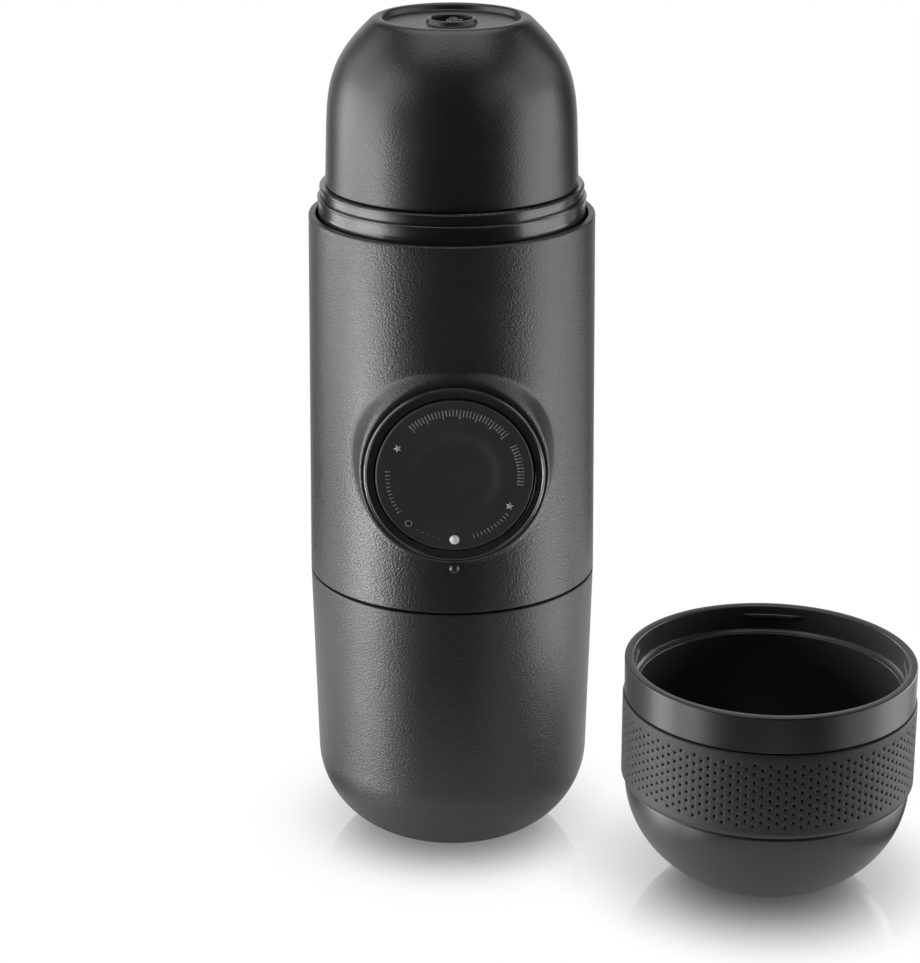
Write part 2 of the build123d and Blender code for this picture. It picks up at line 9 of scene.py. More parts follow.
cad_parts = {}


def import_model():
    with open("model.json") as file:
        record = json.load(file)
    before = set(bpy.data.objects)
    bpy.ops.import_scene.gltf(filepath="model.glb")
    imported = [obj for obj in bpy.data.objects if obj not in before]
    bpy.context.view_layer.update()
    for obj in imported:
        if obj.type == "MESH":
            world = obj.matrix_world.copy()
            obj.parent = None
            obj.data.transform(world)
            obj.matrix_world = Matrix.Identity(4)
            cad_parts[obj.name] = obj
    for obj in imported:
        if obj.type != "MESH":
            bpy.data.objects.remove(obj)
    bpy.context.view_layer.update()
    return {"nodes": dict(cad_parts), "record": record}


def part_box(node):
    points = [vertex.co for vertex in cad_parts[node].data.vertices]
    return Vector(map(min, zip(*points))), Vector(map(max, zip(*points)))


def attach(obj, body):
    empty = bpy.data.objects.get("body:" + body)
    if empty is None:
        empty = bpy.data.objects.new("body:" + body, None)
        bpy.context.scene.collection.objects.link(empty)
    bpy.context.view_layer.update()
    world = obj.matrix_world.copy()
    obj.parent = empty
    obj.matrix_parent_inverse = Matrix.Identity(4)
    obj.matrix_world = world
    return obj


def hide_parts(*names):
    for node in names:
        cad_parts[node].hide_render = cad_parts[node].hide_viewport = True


# The looks of a handheld manual espresso maker and its loose cup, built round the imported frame.
# Shapes are worked out in millimetres in the frame's own axes and become metres in Shape.piece.

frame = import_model()

MM = 0.001


def span(node):
    """Lowest and highest corner of a CAD node, in millimetres."""
    low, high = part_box(node)
    return np.array(low) / MM, np.array(high) / MM


# Sizes read from the frame -------------------------------------------------------------------------

TANK_R = span("water_tank")[1][0]
TANK_NECK_TOP = span("water_tank")[1][2]
SHELL_LOW, SHELL_HIGH = span("outer_shell")
SHELL_LOW_R = SHELL_HIGH[0]
SHELL_LOW_Z = SHELL_LOW[2]
RIM_Z = SHELL_HIGH[2]
BOSS_OUT = -SHELL_LOW[1]
KNOB_LOW, KNOB_HIGH = span("piston_knob")
PISTON_Z = (KNOB_LOW[2] + KNOB_HIGH[2]) / 2
KNOB_OUT = -KNOB_LOW[1]
COLLAR_OUT = -span("knob_collar")[0][1]
CREST_Z = span("outlet_head")[1][2]
HEAD_LOW_Z = span("outlet_head")[0][2]
DOME_R = span("outlet_head")[1][0]
CUP_LOW, CUP_HIGH = span("cup_bowl")
CUP_X = (CUP_LOW[0] + CUP_HIGH[0]) / 2
CUP_Y = (CUP_LOW[1] + CUP_HIGH[1]) / 2
CUP_R = (CUP_HIGH[0] - CUP_LOW[0]) / 2
CUP_HEIGHT = CUP_HIGH[2]
SLEEVE_LOW_Z = span("cup_grip_sleeve")[0][2]
SLEEVE_TOP_Z = span("cup_grip_sleeve")[1][2]
SLEEVE_R = span("cup_grip_sleeve")[1][0] - CUP_X

# Sizes of the looks
SEAM_GAP = 0.5             # height of the dark split between tank and shell
RIM_DROP = 0.7             # how much narrower the shell is at its rim
SHELL_WALL = 1.4
BOSS_R = 17.75             # where the boss starts to fall away
COLLAR_RIM_R = 17.2        # outside of the glossy ring round the knob
COLLAR_BORE = 15.22
KNOB_R = KNOB_HIGH[0] - 0.28    # a little slimmer, so that a gap shows round the knob
PIP_Z = 65.75              # height of the index pip under the knob
WELD = 0.002 * MM          # points nearer than this become one


# Outlines ------------------------------------------------------------------------------------------

def divided(points, closed):
    """Adds a point near both ends of each long side, and more along it, so that shading stays even."""
    near, side, longest = 0.12, 1.2, 3.0
    result = []
    count = len(points)
    for i in range(count if closed else count - 1):
        here, there = points[i], points[(i + 1) % count]
        result.append(here)
        length = np.linalg.norm(there - here)
        if length > side:
            inner = np.linspace(0, length, math.ceil(length / longest) + 1)[1:-1]
            for distance in (near, *inner, length - near):
                result.append(here + (there - here) * distance / length)
    if not closed:
        result.append(points[-1])
    return np.array(result)


def rounded(corners, closed=True, steps=5):
    """An outline from (radius, height, fillet) corners; the fillet may be left out."""
    corners = [tuple(c) + (0.0,) * (3 - len(c)) for c in corners]
    count = len(corners)
    points = []
    for i, (x, y, radius) in enumerate(corners):
        here = np.array((x, y))
        if radius == 0 or (not closed and i in (0, count - 1)):
            points.append(here)
            continue
        before = np.array(corners[i - 1][:2]) - here
        after = np.array(corners[(i + 1) % count][:2]) - here
        reach_before, reach_after = np.linalg.norm(before), np.linalg.norm(after)
        before, after = before / reach_before, after / reach_after
        half = math.acos(max(-1.0, min(1.0, before @ after))) / 2
        reach = min(radius / math.tan(half), 0.45 * reach_before, 0.45 * reach_after)
        centre = here + (before + after) / np.linalg.norm(before + after) * reach / math.cos(half)
        start = here + before * reach - centre
        end = here + after * reach - centre
        total = math.atan2(start[0] * end[1] - start[1] * end[0], start @ end)
        for step in range(steps + 1):
            turn = total * step / steps
            spin = np.array(((math.cos(turn), -math.sin(turn)), (math.sin(turn), math.cos(turn))))
            points.append(centre + spin @ start)
    return divided(points, closed)


def ellipse(centre, across, up, first, last, steps=28):
    """Points along an ellipse from one angle to another, in degrees."""
    angles = np.radians(np.linspace(first, last, steps + 1))
    return [(centre[0] + across * math.cos(a), centre[1] + up * math.sin(a)) for a in angles]


def bezier(controls, steps=28):
    """Points along a Bezier curve."""
    result = []
    for t in np.linspace(0, 1, steps + 1):
        points = [np.array(c, float) for c in controls]
        while len(points) > 1:
            points = [a + (b - a) * t for a, b in zip(points, points[1:])]
        result.append(tuple(points[0]))
    return result


def smooth(low, high, value):
    """0 below low, 1 above high, and an even ease between them."""
    t = np.clip((value - low) / (high - low), 0.0, 1.0)
    return t * t * (3 - 2 * t)


# Meshes --------------------------------------------------------------------------------------------

ON_AXIS = Matrix.Identity(4)
ON_CUP = Matrix.Translation((CUP_X, CUP_Y, 0))
ON_PISTON = Matrix.Translation((0, 0, PISTON_Z)) @ Matrix.Rotation(math.radians(90), 4, "X")


class Shape:
    """Points and faces gathered from several grids, in millimetres."""

    def __init__(self):
        self.points = []
        self.faces = []
        self.parts = []

    def grid(self, rows, closed=False, part=0):
        """Quads between equal rows of points; closed joins each row's end to its start."""
        rows = np.asarray(rows, float)
        count = rows.shape[1]
        start = len(self.points)
        self.points.extend(map(tuple, rows.reshape(-1, 3)))
        columns = range(count if closed else count - 1)
        for row in range(rows.shape[0] - 1):
            base = start + row * count
            above = base + count
            for column in columns:
                after = (column + 1) % count
                self.faces.append((base + column, base + after, above + after, above + column))
                self.parts.append(part)

    def turn(self, section, segments=192, closed=True, part=0):
        """Turns a section about the height axis. A function of the angle may stand for the section."""
        angles = np.linspace(0, 2 * math.pi, segments, endpoint=False)
        varied = callable(section)
        sections = [section(a) if varied else section for a in angles]
        rings = np.array(sections).transpose(1, 0, 2)
        rows = np.stack(
            [rings[..., 0] * np.cos(angles), rings[..., 0] * np.sin(angles), rings[..., 1]], axis=-1
        )
        if closed:
            rows = np.concatenate([rows, rows[:1]])
        self.grid(rows, closed=True, part=part)

    def piece(self, name, materials, body, slot, nodes=(), place=ON_AXIS):
        """The finished object, riding on its body."""
        mesh = bpy.data.meshes.new(name)
        mesh.from_pydata([(place @ Vector(p)) * MM for p in self.points], [], self.faces)
        for material in materials:
            mesh.materials.append(material)
        mesh.polygons.foreach_set("material_index", self.parts)
        work = bmesh.new()
        work.from_mesh(mesh)
        bmesh.ops.remove_doubles(work, verts=work.verts, dist=WELD)
        bmesh.ops.dissolve_degenerate(work, dist=WELD / 2, edges=work.edges)
        bmesh.ops.recalc_face_normals(work, faces=work.faces)
        work.to_mesh(mesh)
        work.free()
        mesh.shade_smooth()
        piece = bpy.data.objects.new(name, mesh)
        bpy.context.scene.collection.objects.link(piece)
        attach(piece, body)
        if nodes:
            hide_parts(*nodes)
        return piece


def thread(shape, neck_r, low, pitch, turns, proud=0.55):
    """A helical ridge round a neck, fading in and out at its ends."""
    segments, fade_turns, sunk = 96, 0.08, 0.1
    total = int(segments * turns)
    rows = []
    for step in range(total + 1):
        angle = 2 * math.pi * step / segments
        height = low + pitch * step / segments
        fade = smooth(0, 1, min(step, total - step) / (segments * fade_turns))
        foot_r = neck_r - 2 * sunk
        top_r = neck_r - sunk + (proud + sunk) * fade
        row = []
        for radius, offset in ((foot_r, -0.55), (top_r, -0.28), (top_r, 0.28), (foot_r, 0.55)):
            row.append((radius * math.cos(angle), radius * math.sin(angle), height + offset))
        rows.append(row)
    shape.grid(rows, closed=True)


# Materials -----------------------------------------------------------------------------------------

def ranged(tree, source, low, high, to_low, to_high, easing="SMOOTHSTEP"):
    """Takes a value between two levels to two others."""
    made = tree.nodes.new("ShaderNodeMapRange")
    made.interpolation_type = easing
    made.inputs["From Min"].default_value = low
    made.inputs["From Max"].default_value = high
    made.inputs["To Min"].default_value = to_low
    made.inputs["To Max"].default_value = to_high
    tree.links.new(source, made.inputs["Value"])
    return made.outputs["Result"]


def calculated(tree, operation, *values):
    """One operation over numbers and sockets."""
    made = tree.nodes.new("ShaderNodeMath")
    made.operation = operation
    for socket, value in zip(made.inputs, values):
        if isinstance(value, (int, float)):
            socket.default_value = value
        else:
            tree.links.new(value, socket)
    return made.outputs["Value"]


class Finish:
    """A node material under construction."""

    def __init__(self, name, roughness, specular=0.5, metallic=0.0):
        self.material = bpy.data.materials.new(name)
        self.material.use_nodes = True
        self.tree = self.material.node_tree
        self.shader = self.tree.nodes["Principled BSDF"]
        self.shader.inputs["Roughness"].default_value = roughness
        self.shader.inputs["Specular IOR Level"].default_value = specular
        self.shader.inputs["Metallic"].default_value = metallic
        self.place = self.node("ShaderNodeTexCoord").outputs["Object"]

    def node(self, kind, **settings):
        made = self.tree.nodes.new(kind)
        for key, value in settings.items():
            setattr(made, key, value)
        return made

    def link(self, source, target):
        self.tree.links.new(source, target)

    def stretched(self, scale):
        """Object coordinates scaled along each axis."""
        mapping = self.node("ShaderNodeMapping")
        mapping.inputs["Scale"].default_value = scale
        self.link(self.place, mapping.inputs["Vector"])
        return mapping.outputs["Vector"]

    def noise(self, scale, detail, stretch=None):
        made = self.node("ShaderNodeTexNoise")
        made.inputs["Scale"].default_value = scale
        made.inputs["Detail"].default_value = detail
        made.inputs["Roughness"].default_value = 0.5
        self.link(self.stretched(stretch) if stretch else self.place, made.inputs["Vector"])
        return made.outputs["Fac"]

    def cells(self, scale):
        made = self.node("ShaderNodeTexVoronoi", feature="SMOOTH_F1")
        made.inputs["Scale"].default_value = scale
        made.inputs["Smoothness"].default_value = 0.6
        self.link(self.place, made.inputs["Vector"])
        return made.outputs["Distance"]

    def colour(self, dark, light, source):
        """Base colour between two tones, led by a texture."""
        mix = self.node("ShaderNodeMix", data_type="RGBA")
        mix.inputs["A"].default_value = (*dark, 1)
        mix.inputs["B"].default_value = (*light, 1)
        self.link(source, mix.inputs["Factor"])
        self.link(mix.outputs["Result"], self.shader.inputs["Base Color"])

    def rough(self, source, low, high):
        """Roughness led by a texture, most of which lies between 0.3 and 0.7."""
        value = ranged(self.tree, source, 0.3, 0.7, low, high, "LINEAR")
        self.link(value, self.shader.inputs["Roughness"])

    def bump(self, height, depth_mm):
        made = self.node("ShaderNodeBump")
        made.inputs["Strength"].default_value = 1.0
        made.inputs["Distance"].default_value = depth_mm * MM
        self.link(height, made.inputs["Height"])
        self.link(made.outputs["Normal"], self.shader.inputs["Normal"])


def grey(value, warmth=0.0):
    """A grey, slightly warm if asked."""
    return (value * (1 + warmth), value, value * (1 - warmth))


# name, darkest and lightest grey, roughness, grain size and depth in millimetres, pebbles' share, specular
MOULDED = (
    ("shell_plastic", 0.013, 0.017, 0.34, 0.43, 0.095, 0.1, 0.5),
    ("tank_plastic", 0.012, 0.016, 0.40, 0.43, 0.08, 0.1, 0.5),
    ("head_plastic", 0.008, 0.011, 0.33, 0.36, 0.04, 0.25, 0.5),
    ("knob_plastic", 0.018, 0.022, 0.5, 0.18, 0.004, 0.6, 0.4),
    ("cup_plastic", 0.019, 0.023, 0.36, 0.2, 0.004, 0.6, 0.5),
    ("inner_plastic", 0.045, 0.055, 0.45, 0.25, 0.005, 0.6, 0.5),
    ("piston_plastic", 0.06, 0.07, 0.32, 0.3, 0.002, 0.6, 0.5),
)


def moulded(name, dark, light, roughness, grain_mm, grain_depth, pebble, specular):
    """Dark moulded plastic with a pebbled skin: noise for the fine grain, cells for the pebbles."""
    finish = Finish(name, roughness, specular)
    cloud = finish.noise(60.0, 3.0)
    finish.colour(grey(dark), grey(light), cloud)
    fine = finish.noise(1 / (grain_mm * MM), 1.5, stretch=(1.0, 1.0, 1.35))
    pebbles = finish.cells(0.8 / (grain_mm * MM))
    finish.rough(cloud, roughness - 0.03, roughness + 0.03)
    finish.bump(calculated(finish.tree, "MULTIPLY_ADD", pebbles, pebble, fine), grain_depth)
    return finish.material


# name, roughness, specular, cloud scale and detail, the cloud's two colours, its two roughnesses, and the
# scale, detail and depth in millimetres of the skin. The cup's polished inside stays over a roughness of
# 0.27, because a range that crosses it leaves blotches in the denoised render.
PLAIN = (
    ("grip_rubber", 0.55, 0.45, 90, 3, grey(0.022), grey(0.028), 0.52, 0.6, 6000, 2, 0.006),
    ("collar_gloss", 0.22, 0.6, 400, 2, grey(0.017), grey(0.021), 0.2, 0.25, 2500, 2, 0.001),
    # The cup's inside is a lighter grey than its outside (cup_plastic). The extra lightness is painted
    # light standing in for fill light in the bowl; its lower roughness is its real polish.
    ("cup_gloss", 0.31, 0.5, 300, 2, grey(0.040), grey(0.048), 0.285, 0.34, 1800, 2, 0.001),
    ("seal_rubber", 0.5, 0.5, 200, 3, grey(0.22, 0.01), grey(0.27, 0.01), 0.45, 0.55, 3000, 2, 0.004),
)


def plain(name, roughness, specular, scale, detail, dark, light, low, high, skin_scale, skin_detail, depth):
    """A smooth skin, a little cloudy in colour and gloss."""
    finish = Finish(name, roughness, specular)
    cloud = finish.noise(scale, detail)
    finish.colour(dark, light, cloud)
    finish.rough(cloud, low, high)
    finish.bump(finish.noise(skin_scale, skin_detail), depth)
    return finish.material


def gloss_black():
    """Polished black plastic with the faint upright drag marks of the mould."""
    finish = Finish("gloss_black", 0.22, 0.65)
    drag = finish.noise(1500.0, 2.0, stretch=(1.0, 1.0, 0.08))
    finish.colour(grey(0.008), grey(0.011), drag)
    finish.rough(drag, 0.2, 0.25)
    finish.bump(finish.noise(700.0, 1.0), 0.0012)
    return finish.material


def steel():
    finish = Finish("steel", 0.3, 0.5, metallic=1.0)
    brushed = finish.noise(900.0, 4.0, stretch=(1.0, 1.0, 6.0))
    finish.colour((0.52, 0.52, 0.53), (0.62, 0.62, 0.63), brushed)
    finish.rough(brushed, 0.285, 0.38)
    finish.bump(brushed, 0.002)
    return finish.material


def printed(name, value):
    """Pad-printed ink on the knob."""
    finish = Finish(name, 0.55, 0.4)
    cloud = finish.noise(2500.0, 3.0)
    finish.colour(grey(value * 0.9), grey(value * 1.08), cloud)
    finish.rough(cloud, 0.5, 0.6)
    return finish.material


MATERIALS = {row[0]: moulded(*row) for row in MOULDED}
MATERIALS.update({row[0]: plain(*row) for row in PLAIN})
MATERIALS.update({"gloss_black": gloss_black(), "steel": steel()})


def dress_nodes():
    """Gives each CAD node that stays the finish of its slot."""
    for part in frame["record"]["subparts"]:
        node = frame["nodes"][part["node"]]
        for holder in node.material_slots:
            holder.material = MATERIALS[part["material_slot"]]


# Maker ---------------------------------------------------------------------------------------------

def water_tank():
    """The rounded lower third, on its cross."""
    wall = 2.0
    foot_r, low_r, low_z, foot_z = 10.0, TANK_R - 1.0, 17.5, 0.3
    shoulder = SHELL_LOW_Z - SEAM_GAP
    neck_r, neck_bore = 24.6, 22.9
    inner_r = low_r - wall
    section = rounded(
        [
            (0, foot_z),
            *ellipse((foot_r, low_z), low_r - foot_r, low_z, 280.6, 360),
            (TANK_R, shoulder, 0.3),
            (neck_r, shoulder, 0.3),
            (neck_r, TANK_NECK_TOP, 0.3),
            (neck_bore, TANK_NECK_TOP, 0.3),
            (neck_bore, shoulder - 4, 0.5),
            (inner_r, shoulder - 7, 1.0),
            *reversed(ellipse((foot_r, low_z), inner_r - foot_r, low_z - wall, 270, 360)),
            (0, wall),
        ],
        closed=False,
    )
    shape = Shape()
    shape.turn(section, closed=False)
    for turn in (45, 135):
        foot_bar(shape, math.radians(turn), 9.5, 2.5, foot_z)
    thread(shape, neck_r, 58.4, 2.6, 1.6)
    return shape.piece("tank_body", [MATERIALS["tank_plastic"]], "tank", "tank_plastic", ["water_tank"])


def foot_bar(shape, turn, half_length, half_width, high):
    """One bar of the cross the maker stands on, with its lower edges broken."""
    signs = ((-1, -1), (1, -1), (1, 1), (-1, 1))
    rows = []
    for inset, z in ((0.0, high + 0.2), (0.0, 0.12), (0.04, 0.04), (0.12, 0.0)):
        row = []
        for along_sign, across_sign in signs:
            x, y = along_sign * (half_length - inset), across_sign * (half_width - inset)
            along = x * math.cos(turn) - y * math.sin(turn)
            across = x * math.sin(turn) + y * math.cos(turn)
            row.append((along, across, z))
        rows.append(row)
    rows.append([(0, 0, 0)] * len(signs))
    shape.grid(rows, closed=True)


def shell_radius(z):
    """Outside radius of the shell's wall at a height."""
    return SHELL_LOW_R - RIM_DROP * (np.asarray(z) - SHELL_LOW_Z) / (RIM_Z - SHELL_LOW_Z)


def wall_point(clock, radius, inset=0.0):
    """Point of the shell's wall that lies at a radius and clock angle round the piston's axis."""
    x = radius * math.sin(clock)
    z = PISTON_Z + radius * math.cos(clock)
    return np.array((x, -math.sqrt((shell_radius(z) - inset) ** 2 - x * x), z))


def boss_blend(clock):
    """(radius, out) points from the boss's face down its soft side into the wall."""
    mean_r, more_above, more_between = 19.3, 1.1, 0.8
    touch = mean_r + more_above * math.cos(clock) + more_between * math.sin(2 * clock) ** 2
    end = np.array((touch, -wall_point(clock, touch)[1]))
    step = 0.01
    slope = (end[1] + wall_point(clock, touch - step)[1]) / step
    shoulder = (BOSS_R + 0.5 * (touch - BOSS_R), BOSS_OUT)
    tangent = end - 0.4 * (touch - BOSS_R) * np.array((1.0, slope))
    return np.array(bezier([(BOSS_R, BOSS_OUT), shoulder, tangent, end], 40))


def spaced(path, count):
    """Evenly spaced points along a path."""
    steps = np.linalg.norm(np.diff(path, axis=0), axis=1)
    along = np.concatenate([[0], np.cumsum(steps)])
    wanted = np.linspace(0, along[-1], count)
    return np.stack([np.interp(wanted, along, path[:, 0]), np.interp(wanted, along, path[:, 1])], axis=-1)


SIDE_CELLS = 72            # cells along each side of the square patch that holds the boss
BACK_CELLS = 150           # cells round the rest of the wall
PATCH_HALF = 23.5          # half the square's side


def patch_clocks():
    """Clock angles of the rays from the piston's axis to the square's rim, and their lengths."""
    steps = np.linspace(-1, 1, SIDE_CELLS, endpoint=False)
    top = [(s, 1.0) for s in steps]
    right = [(1.0, -s) for s in steps]
    bottom = [(-s, -1.0) for s in steps]
    left = [(-1.0, s) for s in steps]
    corners = np.array(top + right + bottom + left) * PATCH_HALF
    return np.arctan2(corners[:, 0], corners[:, 1]), np.hypot(corners[:, 0], corners[:, 1])


def boss_patch(hole_r):
    """Rows of points from the collar's hole over the boss to the square's rim, on the outside."""
    round_r = 22.7         # the rings are round up to here, and then spread to the square
    face = [(hole_r, BOSS_OUT - 0.12), (hole_r + 0.06, BOSS_OUT - 0.03), (hole_r + 0.2, BOSS_OUT)]
    rays = []
    for clock, reach in zip(*patch_clocks()):
        section = [*face, *spaced(boss_blend(clock), 22)]
        touch = section[-1][0]
        outward = [*np.linspace(touch, round_r, 6)[1:], *np.linspace(round_r, reach, 8)[1:]]
        ray = [(r * math.sin(clock), -out, PISTON_Z + r * math.cos(clock)) for r, out in section]
        ray.extend(wall_point(clock, radius) for radius in outward)
        rays.append(ray)
    return np.array(rays).transpose(1, 0, 2)


def inner_patch(hole_r):
    """The same patch on the shell's inside, plain."""
    rays = []
    for clock, reach in zip(*patch_clocks()):
        rays.append([wall_point(clock, r, SHELL_WALL) for r in np.linspace(hole_r, reach, 8)])
    return np.array(rays).transpose(1, 0, 2)


def wall_angles(z):
    """Angles from the front at a height: across the square patch, and round the back."""
    side_x = np.linspace(-PATCH_HALF, PATCH_HALF, SIDE_CELLS + 1)
    front = np.arcsin(side_x / shell_radius(z))
    back = np.linspace(front[-1], 2 * math.pi + front[0], BACK_CELLS + 1)
    return front, back


def ring_angles(z):
    """The same angles as one full ring."""
    front, back = wall_angles(z)
    return np.concatenate([front, back[1:-1]])


def wall_row(angles, z, inset):
    radius = shell_radius(z) - inset
    return [(radius * math.sin(a), -radius * math.cos(a), z) for a in angles]


def wall_grids(shape, inset, low_z, high_z):
    """The rest of the wall round the square patch, between two heights."""
    longest = 1.5
    side_z = np.linspace(PISTON_Z - PATCH_HALF, PISTON_Z + PATCH_HALF, SIDE_CELLS + 1)
    shape.grid([wall_row(wall_angles(z)[1], z, inset) for z in side_z])
    for start, end, edge_z in ((low_z, side_z[0], side_z[0]), (side_z[-1], high_z, side_z[-1])):
        heights = np.linspace(start, end, max(3, math.ceil((end - start) / longest)))
        angles = ring_angles(edge_z)
        shape.grid([wall_row(angles, z, inset) for z in heights], closed=True)


def rim_ring(shape, section, edge_z):
    """Rows round the wall's end, through the (inset, height) points of a section."""
    angles = ring_angles(edge_z)
    shape.grid([wall_row(angles, z, depth) for depth, z in section], closed=True)


def outer_shell():
    """The tube round the pump, with the boss and the pip."""
    hole_r = COLLAR_RIM_R + 0.03
    wall = SHELL_WALL
    shape = Shape()
    outside = boss_patch(hole_r)
    inside = inner_patch(hole_r)
    shape.grid(outside, closed=True)
    shape.grid(inside, closed=True)
    shape.grid([outside[0], inside[0]], closed=True)
    low_turn, high_turn = SHELL_LOW_Z + 0.4, RIM_Z - 1.0
    wall_grids(shape, 0.0, low_turn, high_turn)
    wall_grids(shape, wall, low_turn, high_turn)
    top = [(0, high_turn), (0, RIM_Z, 0.42), (wall, RIM_Z, 0.3), (wall, high_turn)]
    low = [(0, low_turn), (0, SHELL_LOW_Z, 0.28), (wall, SHELL_LOW_Z, 0.2), (wall, low_turn)]
    rim_ring(shape, rounded(top, closed=False, steps=6), PISTON_Z + PATCH_HALF)
    rim_ring(shape, rounded(low, closed=False), PISTON_Z - PATCH_HALF)
    pip(shape)
    materials = [MATERIALS["shell_plastic"]]
    return shape.piece("shell_body", materials, "main_body", "shell_plastic", ["outer_shell"])


def pip(shape):
    """The small raised index mark under the knob."""
    reach, proud, sunk, root = 1.25, 0.42, 0.03, -0.7
    radii = (0, 0.2, 0.35, 0.5, 0.6, 0.7, 0.8, 0.9, 1.0, 1.1, reach)
    domed = [(r, proud * (1 - smooth(0.35, 1.1, r)) - sunk) for r in radii]
    rows = []
    for r, lift in (*domed, (reach, root), (0, root)):
        row = []
        for clock in np.linspace(0, 2 * math.pi, 32, endpoint=False):
            x, z = r * math.sin(clock), PIP_Z + r * math.cos(clock)
            row.append((x, -math.sqrt(shell_radius(z) ** 2 - x * x) - lift, z))
        rows.append(row)
    shape.grid(rows, closed=True)


def knob_collar():
    """Glossy ring round the knob, with a bevel down to the knob and two small notches in its bore."""
    notches = [math.radians(a) for a in (83, -147)]
    notch_depth, notch_low = 0.28, 26.5
    stem_hole_r, tail_r = 9.58, 16.8
    back, floor, tail_end = 16.4, 18.4, 25.8
    plain = rounded(
        [
            (stem_hole_r, back, 0.05),
            (tail_r, back, 0.3),
            (tail_r, tail_end, 0.05),
            (COLLAR_RIM_R, tail_end, 0.05),
            (COLLAR_RIM_R, COLLAR_OUT - 0.42, 0.05),
            (COLLAR_RIM_R - 0.12, COLLAR_OUT - 0.14, 0.14),
            (COLLAR_RIM_R - 0.34, COLLAR_OUT + 0.04, 0.1),
            (COLLAR_RIM_R - 0.62, COLLAR_OUT - 0.2, 0.12),
            (COLLAR_BORE, COLLAR_OUT - 0.32, 0.1),
            (COLLAR_BORE, floor, 0.2),
            (stem_hole_r, floor, 0.1),
        ]
    )
    in_bore = (plain[:, 0] < COLLAR_BORE + 0.3) * smooth(notch_low, notch_low + 1, plain[:, 1])

    def section(angle):
        clock = math.pi / 2 - angle
        near = min(abs((clock - n + math.pi) % (2 * math.pi) - math.pi) for n in notches)
        share = (1 - smooth(0.02, 0.045, near)) * in_bore
        return plain + np.stack([notch_depth * share, 0 * share], axis=-1)

    shape = Shape()
    shape.turn(section, segments=288)
    collar_crescent(shape)
    materials = [MATERIALS["collar_gloss"]]
    return shape.piece("collar_ring", materials, "main_body", "gloss_black", ["knob_collar"], ON_PISTON)


def collar_crescent(shape):
    """A thin raised crescent on the bevel's inner edge, at the knob's right."""
    first, last, steps = 84, 134, 40
    low = COLLAR_OUT - 0.4
    rows = []
    for step in range(steps + 1):
        clock = math.radians(first + (last - first) * step / steps)
        top = low + 0.4 * smooth(0, 0.25, min(step, steps - step) / steps)
        points = [(0.02, low), (0.02, top), (0.1, top), (0.3, low + 0.05)]
        row = []
        for wider, out in points:
            radius = COLLAR_BORE + wider
            row.append((radius * math.sin(clock), radius * math.cos(clock), out))
        rows.append(row)
    shape.grid(rows, closed=True)


def piston_knob():
    """The dished disc, with its skirt and pin."""
    dish_r, dish_depth = 8.4, 0.6
    skirt_out, skirt_bore, under = 19.0, 13.6, 28.2
    pin_r, pin_end = 3.0, 25.6
    dish = []
    for r in np.linspace(0, dish_r + 1.4, 26):
        bowl = dish_depth * (1 - (r / (dish_r + 1.0)) ** 2 * 0.35)
        dish.append((r, KNOB_OUT - bowl * (1 - smooth(dish_r - 1.9, dish_r + 1.2, r))))
    section = rounded(
        [
            *dish,
            (KNOB_R, KNOB_OUT, 0.35),
            (KNOB_R, skirt_out, 0.3),
            (skirt_bore, skirt_out, 0.3),
            (skirt_bore, under, 0.3),
            (pin_r, under, 0.1),
            (pin_r, pin_end, 0.1),
            (0, pin_end),
        ],
        closed=False,
    )
    shape = Shape()
    shape.turn(section, segments=256, closed=False)
    materials = [MATERIALS["knob_plastic"]]
    return shape.piece("knob_disc", materials, "knob", "knob_plastic", ["piston_knob"], ON_PISTON)


INK_LOW, INK_TOP = KNOB_OUT - 0.01, KNOB_OUT + 0.02


def ink(shape, ring):
    """A flat printed mark from a ring of (x, y) points on the knob's face, with a thin edge."""
    centre = np.mean(ring, axis=0)
    rows = [
        [(x, y, INK_LOW) for x, y in ring],
        [(x, y, INK_TOP) for x, y in ring],
        [(*centre, INK_TOP)] * len(ring),
    ]
    shape.grid(rows, closed=True)


def at_clock(radius, degrees):
    """(x, y) on the knob's face at a clock angle, clockwise from the top."""
    clock = math.radians(degrees)
    return np.array((radius * math.sin(clock), radius * math.cos(clock)))


def circle_points(centre, radius, count=32):
    turns = np.linspace(0, 2 * math.pi, count, endpoint=False)
    return [centre + radius * np.array((math.cos(t), math.sin(t))) for t in turns]


def star_points(centre, radius, lean):
    """A plain five-pointed star."""
    waist = 0.42
    result = []
    for i in range(10):
        reach = radius if i % 2 == 0 else radius * waist
        turn = math.radians(lean + 36 * i)
        result.append(centre + reach * np.array((math.sin(turn), math.cos(turn))))
    return result


def bar_points(low_r, high_r, degrees, half_width):
    """A short radial bar."""
    along = at_clock(1.0, degrees)
    across = np.array((along[1], -along[0])) * half_width
    low, high = along * low_r, along * high_r
    return [low - across, high - across, high + across, low + across]


